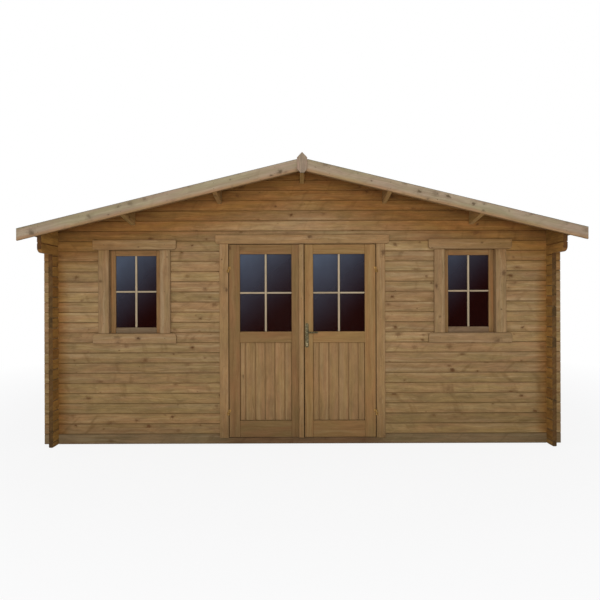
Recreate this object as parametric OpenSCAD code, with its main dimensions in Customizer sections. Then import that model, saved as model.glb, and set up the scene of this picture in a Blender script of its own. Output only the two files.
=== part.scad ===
// Garden shed of crossed logs, with a gable roof, a glazed double door and two windows.
// The front faces -Y, +X is to the right seen from the front, and +Z is up.
// The origin lies on the ground under the middle of the roof. All sizes are in millimetres.

/* [Log walls] */
// Width across the outer faces of the side walls
wall_w = 4890; // [4700:10:5600]
// Depth across the outer faces of the front and back walls
wall_d = 3900; // [2600:10:5000]
// Height that one log adds to a wall
log_h = 100; // [96:1:108]
// Thickness of a log
log_t = 40; // [34:1:48]
// Log courses below the gables
courses = 20; // [19:1:22]
// Length of a log end past the wall that it crosses
log_end = 100; // [70:1:130]
// Bevel along each edge of a log
log_bevel = 6; // [3:0.5:8]
// Width of the tongue on top of a log
tongue_w = 12; // [8:1:16]
// Height of the tongue on top of a log
tongue_h = 8; // [5:1:10]
// Play between logs, and around what passes through them
play = 0.4; // [0.2:0.1:0.8]

/* [Roof] */
// Slope of the roof in degrees
roof_pitch = 13.7; // [10:0.1:18]
// Height of the roof's underside over the last full course, at the outer face of a side wall
eave_rise = 90; // [70:1:98]
// Distance from a side wall's outer face to the edge of the roof
eave_overhang = 180; // [140:5:300]
// Distance from a gable's outer face to the barge boards
gable_overhang = 280; // [180:5:420]
// Thickness of the roof boards
deck_t = 18; // [14:1:24]
// Thickness of the roofing felt
felt_t = 4; // [2:0.5:6]
// Width of the felt strip on each side of the ridge
ridge_strip_w = 150; // [100:5:250]
// Width of a purlin
purlin_w = 42; // [34:1:60]
// Depth of a purlin, from the roof boards to its lower face
purlin_h = 122; // [90:1:140]
// Depth of a purlin at its tip, behind the barge boards
purlin_tip_h = 76; // [30:1:86]
// Distance from the ridge to the middle of an upper purlin
upper_purlin_x = 812; // [700:1:900]
// Distance from the ridge to the middle of a lower purlin
lower_purlin_x = 1666; // [1500:1:1800]
// Radius of the lower corner on the ends of the eave logs
eave_end_r = 46; // [30:1:70]
// Height cut away under the eave logs past the side logs below them
eave_trim = 12; // [4:1:20]
// Width of a barge board
barge_w = 108; // [90:1:140]
// Thickness of a barge board
barge_t = 20; // [14:1:28]
// Height of a barge board's upper edge over the felt
barge_rise = 11; // [6:1:20]
// Width of the finial boards
finial_w = 94; // [70:1:130]
// Thickness of the finial boards
finial_t = 18; // [14:1:28]
// Height of the finial's point over the barge boards
finial_point = 50; // [30:1:70]
// Length of the finial's straight sides
finial_side = 105; // [80:1:140]
// Height of the finial's lower taper
finial_tail = 36; // [20:1:60]
// Width of the finial's lower tip
finial_tip_w = 30; // [16:1:50]

/* [Floor] */
// Height of a floor joist
joist_h = 44; // [40:1:50]
// Width of a floor joist
joist_w = 58; // [40:1:80]
// Largest distance between floor joists
joist_pitch = 600; // [400:10:800]
// Thickness of the floor boards
floor_t = 18; // [15:1:24]
// Gap between the floor boards and the walls
floor_gap = 5; // [3:1:12]

/* [Doorway] */
// Distance between the two hinged edges of the closed door leaves
door_w = 1440; // [1300:5:1600]
// Gap between a leaf and the jamb, and between the two leaves
leaf_gap = 7; // [6.5:0.5:9]
// Gap over a leaf
leaf_top_gap = 6; // [5:0.5:10]
// Gap under a leaf
leaf_foot_gap = 8; // [5:0.5:14]
// Gap between a leaf and the stop behind it
stop_gap = 5; // [5:0.5:8]
// Thickness of a leaf
leaf_t = 40; // [34:1:46]
// Width of a jamb seen from the front
jamb_w = 88; // [70:1:110]
// Thickness of the jamb in the doorway
jamb_web = 38; // [28:1:50]
// Thickness of the jamb's flange in front of the logs
jamb_face_t = 15; // [10:1:24]
// Thickness of the jamb's flange behind the logs
jamb_back_t = 25; // [16:1:34]
// Width of the stop behind a leaf
stop_w = 12; // [8:1:20]
// Thickness of the door head
door_head_h = 31; // [24:1:50]
// Height of the trim board over the doorway
door_trim_h = 92; // [70:1:110]
// Length of that trim board past each jamb
door_trim_lap = 40; // [20:1:80]

/* [Door leaves] */
// Width of the stile at the hinges
stile_w = 106; // [90:1:125]
// Distance from the middle of the doorway to the glass
meeting_w = 106; // [96:1:125]
// Distance from the middle of the doorway to the left leaf's free edge
meeting_x = 15; // [8:1:24]
// Height of the top rail
top_rail_h = 94; // [80:1:120]
// Height of the glass opening in a leaf
leaf_glass_h = 762; // [600:1:860]
// Height of the rail under the glass
lock_rail_h = 108; // [90:1:140]
// Height of the bottom rail
bottom_rail_h = 162; // [120:1:200]
// Thickness of the boarded panel
panel_t = 16; // [12:1:20]
// Depth of the panel's face behind the leaf's face
panel_recess = 12; // [6:1:16]
// Depth of the grooves that hold the panel and the glass
groove_d = 9; // [6:1:14]
// Thickness of the glass
glass_t = 4; // [3:0.5:6]
// Width of the cover strip where the leaves meet
strip_w = 50; // [36:1:60]
// Thickness of the cover strip
strip_t = 20; // [12:1:26]

/* [Hinges and handle] */
// Radius of a hinge's barrel
barrel_r = 7; // [6:0.5:9]
// Length of one half of a hinge's barrel
barrel_h = 28; // [22:1:40]
// Gap between a barrel and the face behind it
barrel_gap = 0.5; // [0.3:0.1:1]
// Radius of a hinge pin
pin_r = 4; // [3:0.5:5]
// Length of a hinge pin over the lower half
pin_h = 22; // [14:1:26]
// Play around a hinge pin
pin_play = 0.05; // [0.03:0.01:0.1]
// Width of a hinge's flag past its axis
flag_w = 20; // [16:1:30]
// Thickness of a hinge's flag
flag_t = 3; // [2:0.5:4]
// Height of the lower hinges over the ground
low_hinge_z = 315; // [240:5:420]
// Distance from the leaf's top to the upper hinges
top_hinge_drop = 247; // [160:5:340]
// Width of the handle's plate
plate_w = 34; // [28:1:40]
// Height of the handle's plate
plate_h = 240; // [180:5:260]
// Thickness of the handle's plate
plate_t = 4; // [3:0.5:6]
// Gap between the handle's plate and the leaf's edge
plate_edge = 5; // [4:1:12]
// Height of the plate's lower end over the ground
plate_z = 950; // [860:5:1000]
// Distance from the plate's lower end to the lever
lever_rise = 150; // [120:5:200]
// Distance from the plate's lower end to the lock cylinder
lock_rise = 40; // [30:5:90]
// Radius of the lever
lever_r = 8; // [6:0.5:10]
// Length of the lever
lever_l = 105; // [80:1:130]
// Distance from the plate to the lever's middle
lever_reach = 46; // [36:1:60]
// Radius of the lever's neck
neck_r = 9; // [7:0.5:11]
// Radius of the lock cylinder
lock_r = 9; // [7:0.5:11]
// Distance that the lock cylinder stands out from the leaf
lock_reach = 10; // [7:0.5:14]

/* [Windows] */
// Distance from the middle of the front to the middle of a window
window_x = 1650; // [1560:5:1740]
// Width between the side trims of a window
window_w = 496; // [420:2:560]
// Height between the upper and lower trims of a window
window_h = 822; // [640:2:900]
// Distance from the top of the last full course down to the upper trim's lower edge
window_drop = 86; // [60:1:160]
// Thickness of the lining around a window
lining_t = 20; // [14:1:26]
// Distance from the wall's face back to the sash
sash_recess = 29; // [15:1:36]
// Thickness of the sash
sash_t = 32; // [26:1:44]
// Width of the sash at its sides
sash_side_w = 46; // [36:1:60]
// Height of the sash at its top and bottom
sash_end_h = 56; // [40:1:70]
// Width of the lining's flange inside the wall
inner_flange_w = 45; // [30:1:60]
// Thickness of the lining's flange inside the wall
inner_flange_t = 20; // [12:1:26]
// Thickness of the trim boards
trim_t = 22; // [14:1:26]
// Width of the side trims
side_trim_w = 107; // [80:1:120]
// Height of the upper and lower trims
end_trim_h = 100; // [80:1:120]
// Length of the upper and lower trims past the side trims
trim_lap = 56; // [30:1:80]
// Radius of the trim boards' rounded corners
trim_r = 30; // [10:1:40]

/* [Hidden] */

$fn = 48;
arc_steps = 8;
// Length by which a cutting shape passes the face it cuts
past = 5;

log_brown = "#8f7350";
gable_brown = "#7a5a36";
board_tan = "#a3917a";
trim_brown = "#977a59";
door_brown = "#8c6c45";
floor_tan = "#b08d5f";
felt_green = "#4a4d48";
glass_blue = [0.35, 0.42, 0.5, 0.5];
metal_bronze = "#5a5235";

wall_h = courses * log_h;
front_y = -wall_d / 2;
out_x = wall_w / 2;
in_x = out_x - log_t;
end_x = out_x + log_end;
roof_x = out_x + eave_overhang;
roof_y = wall_d / 2 + gable_overhang;
tongue_near = (log_t - tongue_w) / 2;
tongue_far = tongue_near + tongue_w;

eave_z = wall_h + eave_rise;
deck_v = deck_t / cos(roof_pitch);
felt_v = felt_t / cos(roof_pitch);
barge_v = barge_w / cos(roof_pitch);
barge_top = deck_v + felt_v + barge_rise;

floor_top = joist_h + floor_t;
inner_w = 2 * in_x;
inner_d = wall_d - 2 * log_t;

jamb_in = door_w / 2 + leaf_gap;
jamb_out = jamb_in + jamb_w;
web_out = jamb_in + jamb_web;
leaf_front = front_y - jamb_face_t;
leaf_back = leaf_front + leaf_t;
head_z = wall_h - door_head_h - play;
leaf_z0 = floor_top + leaf_foot_gap;
leaf_z1 = head_z - leaf_top_gap;
panel_z0 = leaf_z0 + bottom_rail_h;
glass_z1 = leaf_z1 - top_rail_h;
glass_z0 = glass_z1 - leaf_glass_h;
panel_z1 = glass_z0 - lock_rail_h;
glass_x0 = meeting_w;
glass_x1 = door_w / 2 - stile_w;
glass_y = leaf_front + (leaf_t - glass_t) / 2;
panel_y = leaf_front + panel_recess;

hinge_x = door_w / 2 + leaf_gap / 2;
hinge_y = leaf_front - barrel_gap - barrel_r;
hinge_levels = [low_hinge_z, leaf_z1 - top_hinge_drop];

window_z1 = wall_h - window_drop;
window_z0 = window_z1 - window_h;
sash_y = front_y + sash_recess;
window_back_y = max(front_y + log_t + play + inner_flange_t, sash_y + sash_t);
pane_y = sash_y + (sash_t - glass_t) / 2;

// Height of the roof's underside over the ground at distance x from the ridge
function roof_under(x) = eave_z + (out_x - abs(x)) * tan(roof_pitch);

// Height of the top of what carries the roof boards, which lie on it with some play
function under_deck(x) = roof_under(x) - play / 2;

// Points of an arc about a centre, from one angle to another
function arc(cx, cz, r, a0, a1) =
    [for (i = [0 : arc_steps]) let (a = a0 + (a1 - a0) * i / arc_steps) [cx + r * cos(a), cz + r * sin(a)]];

// Section of a log with bevelled edges, a groove below and a tongue on top
function log_section(h, grooved, tongued) = concat(
    [[0, log_bevel], [0, h - log_bevel], [log_bevel, h]],
    tongued ? [[tongue_near, h], [tongue_near, h + tongue_h], [tongue_far, h + tongue_h], [tongue_far, h]] : [],
    [[log_t - log_bevel, h], [log_t, h - log_bevel], [log_t, log_bevel], [log_t - log_bevel, 0]],
    grooved ? [[tongue_far + play, 0], [tongue_far + play, tongue_h + play],
               [tongue_near - play, tongue_h + play], [tongue_near - play, 0]] : [],
    [[log_bevel, 0]]);

module block(x0, x1, y0, y1, z0, z1) {
    translate([x0, y0, z0]) cube([x1 - x0, y1 - y0, z1 - z0]);
}

// Outline drawn in X and Z, given depth from y0 to y1
module plate_xz(y0, y1) {
    translate([0, y1, 0]) rotate([90, 0, 0]) linear_extrude(y1 - y0) children();
}

// Outline drawn in Y and Z, given width from x0 to x1
module plate_yz(x0, x1) {
    translate([x0, 0, 0]) rotate([90, 0, 90]) linear_extrude(x1 - x0) children();
}

module both_sides() {
    children();
    mirror([1, 0, 0]) children();
}

module both_ends() {
    children();
    mirror([0, 1, 0]) children();
}

// Log of the front wall, from x0 to x1, with its lower face at z
module front_log(x0, x1, z, grooved = true, tongued = true) {
    translate([0, front_y, z]) plate_yz(x0, x1) polygon(log_section(log_h - play, grooved, tongued));
}

// Log of the left wall with its lower face at z
module side_log(y1, z, h = log_h - play, grooved = true, tongued = true) {
    translate([-out_x, 0, z]) plate_xz(-y1, y1) polygon(log_section(h, grooved, tongued));
}

// Upper and lower notches where a log at height z crosses another wall
module crossing(x0, x1, y0, y1, z, upper = true) {
    quarter = log_h / 4 + play / 2;
    block(x0 - play, x1 + play, y0 - play, y1 + play, z - past, z + quarter);
    if (upper)
        block(x0 - play, x1 + play, y0 - play, y1 + play, z + log_h - quarter, z + log_h + tongue_h + past);
}

module left_front_crossing(z, upper = true) {
    crossing(-out_x, -in_x, front_y - past, front_y + log_t + past, z, upper);
}

module side_crossing(z) {
    both_ends() crossing(-out_x - past, -in_x + past, front_y, front_y + log_t, z);
}

// Space that the left window's lining takes in the wall
module window_cut() {
    translate([-window_x, 0, 0])
        block(-window_w / 2 - lining_t - play, window_w / 2 + lining_t + play,
              front_y - past, front_y + log_t + past,
              window_z0 - lining_t - play, window_z1 + lining_t + play);
}

module front_half_logs() {
    for (i = [1 : courses - 1])
        difference() {
            front_log(-end_x, -web_out - play, i * log_h);
            left_front_crossing(i * log_h);
            window_cut();
        }
}

module front_left_wall() {
    color(log_brown) front_half_logs();
}

module front_right_wall() {
    color(log_brown) mirror([1, 0, 0]) front_half_logs();
}

// Lowest log of the front, cut down under the doorway
module front_sill_log() {
    color(log_brown) difference() {
        front_log(-end_x, end_x, 0, grooved = false);
        both_sides() left_front_crossing(0);
        block(-jamb_out - play, jamb_out + play, front_y - past, front_y + log_t + past, floor_top, log_h + past * 2);
    }
}

module back_wall() {
    color(log_brown) mirror([0, 1, 0])
        for (i = [0 : courses - 1])
            difference() {
                front_log(-end_x, end_x, i * log_h, grooved = i > 0);
                both_sides() left_front_crossing(i * log_h);
            }
}

// Logs of a gable, cut to the roof's slopes and notched for the purlins
module gable_logs() {
    top_course = floor((roof_under(0) - play) / log_h);
    for (i = [courses : top_course])
        difference() {
            intersection() {
                front_log(-end_x, end_x, i * log_h);
                plate_xz(front_y - past, front_y + log_t + past)
                    polygon([[-end_x, wall_h], [end_x, wall_h], [end_x, roof_under(end_x) - play],
                             [0, roof_under(0) - play], [-end_x, roof_under(end_x) - play]]);
            }
            both_sides() left_front_crossing(i * log_h, upper = false);
            for (x = [0, upper_purlin_x, lower_purlin_x])
                both_sides() purlin_slot(x);
        }
}

module purlin_slot(x) {
    block(x - purlin_w / 2 - play, x + purlin_w / 2 + play, front_y - past, front_y + log_t + past,
          roof_under(x) - purlin_h - play, roof_under(0) + past);
}

module front_gable() {
    color(gable_brown) gable_logs();
}

module back_gable() {
    color(gable_brown) mirror([0, 1, 0]) gable_logs();
}

// Side wall: half a log on the ground, then full logs up to the eave logs
module side_logs() {
    side_end = wall_d / 2 + log_end;
    difference() {
        side_log(side_end, 0, log_h / 2 - play, grooved = false);
        side_crossing(-log_h / 2);
    }
    for (i = [0 : courses - 3])
        difference() {
            side_log(side_end, (i + 0.5) * log_h);
            side_crossing((i + 0.5) * log_h);
        }
}

module left_wall() {
    color(log_brown) side_logs();
}

module right_wall() {
    color(log_brown) mirror([1, 0, 0]) side_logs();
}

// Two upper logs of a side wall, which reach out under the roof and have rounded ends
module eave_logs() {
    low_z = wall_h - log_h - log_h / 2;
    high_z = low_z + log_h;
    foot_z = low_z + eave_trim;
    foot_y = wall_d / 2 + log_end;
    difference() {
        intersection() {
            side_log(roof_y, low_z);
            plate_yz(-out_x, -in_x)
                polygon(concat([[roof_y, high_z + tongue_h], [-roof_y, high_z + tongue_h]],
                               arc(-roof_y + eave_end_r, foot_z + eave_end_r, eave_end_r, 180, 270),
                               [[-foot_y, foot_z], [-foot_y, low_z], [foot_y, low_z], [foot_y, foot_z]],
                               arc(roof_y - eave_end_r, foot_z + eave_end_r, eave_end_r, 270, 360)));
        }
        side_crossing(low_z);
    }
    difference() {
        plate_xz(-roof_y, roof_y)
            polygon([[-out_x, high_z + log_bevel], [-out_x, under_deck(out_x)], [-in_x, under_deck(in_x)],
                     [-in_x, high_z + log_bevel], [-in_x - log_bevel, high_z],
                     [-out_x + tongue_far + play, high_z], [-out_x + tongue_far + play, high_z + tongue_h + play],
                     [-out_x + tongue_near - play, high_z + tongue_h + play], [-out_x + tongue_near - play, high_z],
                     [-out_x + log_bevel, high_z]]);
        side_crossing(high_z);
        both_ends()
            block(-out_x - past, -in_x + past, front_y - play, front_y + log_t + play,
                  high_z + log_h * 3 / 4 - play / 2, roof_under(in_x) + past);
    }
}

module left_eave_logs() {
    color(log_brown) eave_logs();
}

module right_eave_logs() {
    color(log_brown) mirror([1, 0, 0]) eave_logs();
}

// Side view of a purlin at distance x from the ridge: level inside, tapered past the gables
module purlin_side(x) {
    top = roof_under(0);
    low = roof_under(x) - purlin_h;
    tip = roof_under(x) - purlin_tip_h;
    polygon([[-roof_y, top], [-roof_y, tip], [front_y, low], [-front_y, low], [roof_y, tip], [roof_y, top]]);
}

module purlin(x) {
    x0 = x - purlin_w / 2;
    x1 = x + purlin_w / 2;
    ridge = x == 0 ? [[0, under_deck(0)]] : [];
    intersection() {
        plate_xz(-roof_y, roof_y)
            polygon(concat([[x0, roof_under(x) - purlin_h], [x1, roof_under(x) - purlin_h], [x1, under_deck(x1)]],
                           ridge, [[x0, under_deck(x0)]]));
        plate_yz(x0, x1) purlin_side(x);
    }
}

module ridge_purlin() {
    color(trim_brown) purlin(0);
}

module upper_purlins() {
    color(trim_brown) both_sides() purlin(upper_purlin_x);
}

module lower_purlins() {
    color(trim_brown) both_sides() purlin(lower_purlin_x);
}

// Sheet that follows the right slope from x0 to x1, between two heights over the roof's underside
module slope_sheet(x0, x1, y0, y1, low, high) {
    plate_xz(y0, y1)
        polygon([[x0, roof_under(x0) + low], [x1, roof_under(x1) + low],
                 [x1, roof_under(x1) + high], [x0, roof_under(x0) + high]]);
}

module right_roof_deck() {
    color(floor_tan) slope_sheet(play / 2, roof_x, -roof_y, roof_y, 0, deck_v);
}

module left_roof_deck() {
    mirror([1, 0, 0]) right_roof_deck();
}

module right_roof_felt() {
    color(felt_green) slope_sheet(play / 2, roof_x, -roof_y, roof_y, deck_v, deck_v + felt_v);
}

module left_roof_felt() {
    mirror([1, 0, 0]) right_roof_felt();
}

// Strip of felt folded over the ridge
module ridge_felt() {
    low = deck_v + felt_v + play / 2;
    color(felt_green) plate_xz(-roof_y, roof_y)
        polygon([[-ridge_strip_w, roof_under(ridge_strip_w) + low], [0, roof_under(0) + low],
                 [ridge_strip_w, roof_under(ridge_strip_w) + low],
                 [ridge_strip_w, roof_under(ridge_strip_w) + low + felt_v], [0, roof_under(0) + low + felt_v],
                 [-ridge_strip_w, roof_under(ridge_strip_w) + low + felt_v]]);
}

module front_barge_boards() {
    color(board_tan) both_sides()
        slope_sheet(play / 2, roof_x, -roof_y - barge_t, -roof_y, barge_top - barge_v, barge_top);
}

module back_barge_boards() {
    mirror([0, 1, 0]) front_barge_boards();
}

// Pointed boards that cover the barge boards' joint at both gables
module finials() {
    shoulder = roof_under(0) + barge_top;
    half = finial_w / 2;
    tip = finial_tip_w / 2;
    color(board_tan) both_ends()
        plate_xz(-roof_y - barge_t - finial_t, -roof_y - barge_t)
            polygon([[0, shoulder + finial_point], [-half, shoulder], [-half, shoulder - finial_side],
                     [-tip, shoulder - finial_side - finial_tail], [tip, shoulder - finial_side - finial_tail],
                     [half, shoulder - finial_side], [half, shoulder]]);
}

module floor_joists() {
    bays = ceil((inner_w - 2 * floor_gap - joist_w) / joist_pitch);
    step = (inner_w - 2 * floor_gap - joist_w) / bays;
    color(floor_tan)
        for (i = [0 : bays])
            translate([-in_x + floor_gap + i * step, 0, 0])
                block(0, joist_w, -inner_d / 2 + floor_gap, inner_d / 2 - floor_gap, 0, joist_h);
}

module floor() {
    color(floor_tan)
        block(-in_x + floor_gap, in_x - floor_gap, -inner_d / 2 + play, inner_d / 2 - floor_gap, joist_h, floor_top);
}

// Jamb grooved over the log ends, with a stop behind the leaf
module right_jamb() {
    stop_y = leaf_back + stop_gap;
    back_y = front_y + log_t + jamb_back_t;
    color(trim_brown) translate([0, 0, floor_top]) linear_extrude(head_z - floor_top)
        polygon([[jamb_in, leaf_front], [jamb_out, leaf_front], [jamb_out, front_y], [web_out, front_y],
                 [web_out, front_y + log_t + play], [jamb_out, front_y + log_t + play], [jamb_out, back_y],
                 [jamb_in - stop_w, back_y], [jamb_in - stop_w, stop_y], [jamb_in, stop_y]]);
}

module door_jambs() {
    both_sides() right_jamb();
}

// Head of the doorway, on top of the jambs, with a stop like theirs
module door_head() {
    stop_y = leaf_back + stop_gap;
    back_y = front_y + log_t + jamb_back_t;
    color(trim_brown) union() {
        block(-web_out, web_out, front_y, back_y, head_z, head_z + door_head_h);
        block(-jamb_in + stop_w + play, jamb_in - stop_w - play, stop_y, back_y, head_z - stop_w, head_z);
    }
}

// Board with two rounded lower corners, standing on z = 0
module round_foot_board(half_w, h) {
    plate_xz(front_y - trim_t, front_y)
        polygon(concat([[half_w, h], [-half_w, h]],
                       arc(-half_w + trim_r, trim_r, trim_r, 180, 270),
                       arc(half_w - trim_r, trim_r, trim_r, 270, 360)));
}

module door_head_trim() {
    color(trim_brown) translate([0, 0, head_z]) round_foot_board(jamb_out + door_trim_lap, door_trim_h);
}

// Lower half of a right hinge: barrel, pin and the flag on the jamb
module frame_hinge_half() {
    cylinder(h = barrel_h, r = barrel_r);
    cylinder(h = barrel_h + pin_h, r = pin_r);
    block(0, flag_w, barrel_r + barrel_gap - flag_t, barrel_r + barrel_gap, 0, barrel_h);
}

// Upper half of a right hinge: bored barrel and the flag on the leaf
module leaf_hinge_half() {
    difference() {
        union() {
            cylinder(h = barrel_h, r = barrel_r);
            block(-flag_w, 0, barrel_r + barrel_gap - flag_t, barrel_r + barrel_gap, 0, barrel_h);
        }
        translate([0, 0, -past]) cylinder(h = pin_h + past + play, r = pin_r + pin_play);
    }
}

module door_frame_hinges() {
    color(metal_bronze) both_sides()
        for (z = hinge_levels)
            translate([hinge_x, hinge_y, z - barrel_h - play / 2]) frame_hinge_half();
}

module right_door_hinges() {
    color(metal_bronze)
        for (z = hinge_levels)
            translate([hinge_x, hinge_y, z + play / 2]) leaf_hinge_half();
}

module left_door_hinges() {
    mirror([1, 0, 0]) right_door_hinges();
}

// Stiles and rails of a right leaf whose free edge is at free_x
module leaf_frame(free_x) {
    difference() {
        block(free_x, door_w / 2, leaf_front, leaf_back, leaf_z0, leaf_z1);
        block(glass_x0, glass_x1, leaf_front - past, leaf_back + past, glass_z0, glass_z1);
        block(glass_x0, glass_x1, leaf_front - past, leaf_back + past, panel_z0, panel_z1);
        block(glass_x0 - groove_d, glass_x1 + groove_d, glass_y, glass_y + glass_t,
              glass_z0 - groove_d, glass_z1 + groove_d);
        block(glass_x0 - groove_d, glass_x1 + groove_d, panel_y, panel_y + panel_t,
              panel_z0 - groove_d, panel_z1 + groove_d);
    }
}

// Sheet held in a leaf's groove on all four sides
module leaf_sheet(y, t, z0, z1) {
    held = groove_d - play;
    block(glass_x0 - held, glass_x1 + held, y + play / 2, y + t - play / 2, z0 - held, z1 + held);
}

module right_door_frame() {
    color(door_brown) leaf_frame(meeting_x + leaf_gap);
}

module left_door_frame() {
    color(door_brown) mirror([1, 0, 0]) leaf_frame(-meeting_x);
}

module right_door_panel() {
    color(door_brown) leaf_sheet(panel_y, panel_t, panel_z0, panel_z1);
}

module left_door_panel() {
    mirror([1, 0, 0]) right_door_panel();
}

module right_door_glass() {
    color(glass_blue) leaf_sheet(glass_y, glass_t, glass_z0, glass_z1);
}

module left_door_glass() {
    mirror([1, 0, 0]) right_door_glass();
}

// Strip on the left leaf, level with its free edge
module left_door_cover_strip() {
    color(board_tan)
        block(meeting_x - strip_w, meeting_x, leaf_front - strip_t, leaf_front, leaf_z0, leaf_z1);
}

// Plate, lever and lock cylinder that stand out from the leaf along -Y
module handle_set() {
    half = plate_w / 2;
    plate_xz(-plate_t, 0)
        polygon(concat(arc(0, half, half, 180, 360), arc(0, plate_h - half, half, 0, 180)));
    translate([0, 0, lever_rise]) {
        rotate([90, 0, 0]) cylinder(h = lever_reach + lever_r, r = neck_r);
        translate([0, -lever_reach, 0]) rotate([0, 90, 0]) cylinder(h = lever_l, r = lever_r);
    }
    translate([0, 0, lock_rise]) rotate([90, 0, 0]) cylinder(h = lock_reach, r = lock_r);
}

// Handle on both faces of the right leaf
module right_door_handle() {
    plate_x = meeting_x + leaf_gap + plate_edge + plate_w / 2;
    color(metal_bronze) {
        translate([plate_x, leaf_front, plate_z]) handle_set();
        translate([plate_x, leaf_back, plate_z]) mirror([0, 1, 0]) handle_set();
    }
}

// Ring between an outer and an inner rectangle about the right window's middle
module window_ring(outer, inner, y0, y1) {
    mid_z = (window_z0 + window_z1) / 2;
    translate([window_x, 0, mid_z]) difference() {
        block(-outer[0], outer[0], y0, y1, -outer[1], outer[1]);
        block(-inner[0], inner[0], y0 - past, y1 + past, -inner[1], inner[1]);
    }
}

// Lining, inner flange and sash of the right window, with the groove for the pane
module window_frame() {
    half = [window_w / 2, window_h / 2];
    lining = half + [lining_t, lining_t];
    flange = lining + [inner_flange_w, inner_flange_w];
    sight = half - [sash_side_w, sash_end_h];
    pane = sight + [groove_d, groove_d];
    flange_y = front_y + log_t + play;
    difference() {
        union() {
            window_ring(lining, half, front_y, window_back_y);
            window_ring(flange, half, flange_y, flange_y + inner_flange_t);
            window_ring(lining, sight, sash_y, sash_y + sash_t);
        }
        translate([window_x, 0, (window_z0 + window_z1) / 2])
            block(-pane[0], pane[0], pane_y, pane_y + glass_t, -pane[1], pane[1]);
    }
}

module right_window_frame() {
    color(trim_brown) window_frame();
}

module left_window_frame() {
    mirror([1, 0, 0]) right_window_frame();
}

module right_window_glass() {
    half_w = window_w / 2 - sash_side_w + groove_d - play;
    half_h = window_h / 2 - sash_end_h + groove_d - play;
    color(glass_blue) translate([window_x, 0, (window_z0 + window_z1) / 2])
        block(-half_w, half_w, pane_y + play / 2, pane_y + glass_t - play / 2, -half_h, half_h);
}

module left_window_glass() {
    mirror([1, 0, 0]) right_window_glass();
}

// Four trim boards around the right window
module right_window_trim() {
    half_w = window_w / 2 + side_trim_w + trim_lap;
    color(trim_brown) translate([window_x, 0, 0]) {
        translate([0, 0, window_z1]) round_foot_board(half_w, end_trim_h);
        translate([0, 0, window_z0]) mirror([0, 0, 1]) round_foot_board(half_w, end_trim_h);
        both_sides()
            block(window_w / 2, window_w / 2 + side_trim_w, front_y - trim_t, front_y,
                  window_z0 + play, window_z1 - play);
    }
}

module left_window_trim() {
    mirror([1, 0, 0]) right_window_trim();
}

front_sill_log();
front_left_wall();
front_right_wall();
front_gable();
back_wall();
back_gable();
left_wall();
right_wall();
left_eave_logs();
right_eave_logs();
ridge_purlin();
upper_purlins();
lower_purlins();
left_roof_deck();
right_roof_deck();
left_roof_felt();
right_roof_felt();
ridge_felt();
front_barge_boards();
back_barge_boards();
finials();
floor_joists();
floor();
door_jambs();
door_head();
door_head_trim();
door_frame_hinges();
left_window_frame();
right_window_frame();
left_window_glass();
right_window_glass();
left_window_trim();
right_window_trim();
left_door_frame();
left_door_panel();
left_door_glass();
left_door_cover_strip();
left_door_hinges();
right_door_frame();
right_door_panel();
right_door_glass();
right_door_hinges();
right_door_handle();
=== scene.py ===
# Looks of the log shed: weathered timber, glazing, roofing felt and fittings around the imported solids.
# Sizes are in metres. The front faces -Y, and the origin lies on the ground under the middle of the roof.
import math
import random

import bmesh
import bpy
from mathutils import Matrix, Vector


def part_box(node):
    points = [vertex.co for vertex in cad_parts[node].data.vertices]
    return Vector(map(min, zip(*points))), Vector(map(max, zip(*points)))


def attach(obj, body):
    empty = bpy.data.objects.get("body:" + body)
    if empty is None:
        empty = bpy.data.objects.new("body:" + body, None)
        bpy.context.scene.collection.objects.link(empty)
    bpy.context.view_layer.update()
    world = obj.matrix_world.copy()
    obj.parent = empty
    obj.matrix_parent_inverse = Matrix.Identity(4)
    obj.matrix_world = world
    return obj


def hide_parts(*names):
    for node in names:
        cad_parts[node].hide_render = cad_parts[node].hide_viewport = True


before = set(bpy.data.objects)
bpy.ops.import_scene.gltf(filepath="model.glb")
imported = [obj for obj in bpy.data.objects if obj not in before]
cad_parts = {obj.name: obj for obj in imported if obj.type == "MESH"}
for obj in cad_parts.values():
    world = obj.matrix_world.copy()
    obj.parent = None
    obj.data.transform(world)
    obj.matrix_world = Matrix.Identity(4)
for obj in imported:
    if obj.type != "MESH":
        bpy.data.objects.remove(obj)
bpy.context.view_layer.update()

ALONG_X = Vector((1, 0, 0))
ALONG_Y = Vector((0, 1, 0))
ALONG_Z = Vector((0, 0, 1))
SIDES = {"left": -1, "right": 1}

# Camera, from the photograph's vanishing point and the width of the front
PHOTO_SIDE_PIXELS = 600
FOCAL_PIXELS = 431
CAMERA_PLACE = Vector((-0.023, -6.20, 1.4165))
CAMERA_ROLL = math.radians(-0.175)
SENSOR = 36

# Roof
ROOF_PITCH = math.radians(13.7)
SLOPE = math.tan(ROOF_PITCH)
DECK_T = 0.018 / math.cos(ROOF_PITCH)
BARGE_V = 0.108 / math.cos(ROOF_PITCH)
ROOF_BOARD_W = 0.095
FELT_T = 0.0019
FELT_ROWS = 3
FELT_LAP = 0.09
FELT_DRIP = 0.020
EDGING_START = 0.05
EDGING_T = 0.0015

# Radii of rounded edges
BOARD_EDGE = 0.0015
TIMBER_EDGE = 0.003
SAWN_EDGE = 0.002
BAR_EDGE = 0.004
PANEL_EDGE = 0.005
TONGUE_EDGE = 0.0006
TRIM_EDGE = 0.007
FELT_EDGE = 0.0004
EDGING_EDGE = 0.0003
RIDGE_EDGE = 0.0005
METAL_EDGE = 0.0008
LOCK_EDGE = 0.002

# Joinery
BOARD_GAP = 0.0006
FLOOR_BOARD_W = 0.095
PANEL_BOARD_W = 0.0965
PANEL_GAP = 0.001
TONGUE_T = 0.005
PANEL_START = {"left": 0.053, "right": 0.057}
HELD_IN_GROOVE = 0.0086
BAR_W = 0.0195
BAR_H = 0.017
BAR_D = 0.013
BEAD_W = 0.010
BEAD_D = 0.009
NAIL_STEP = 0.1
NAIL_EDGE = 0.025

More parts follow.
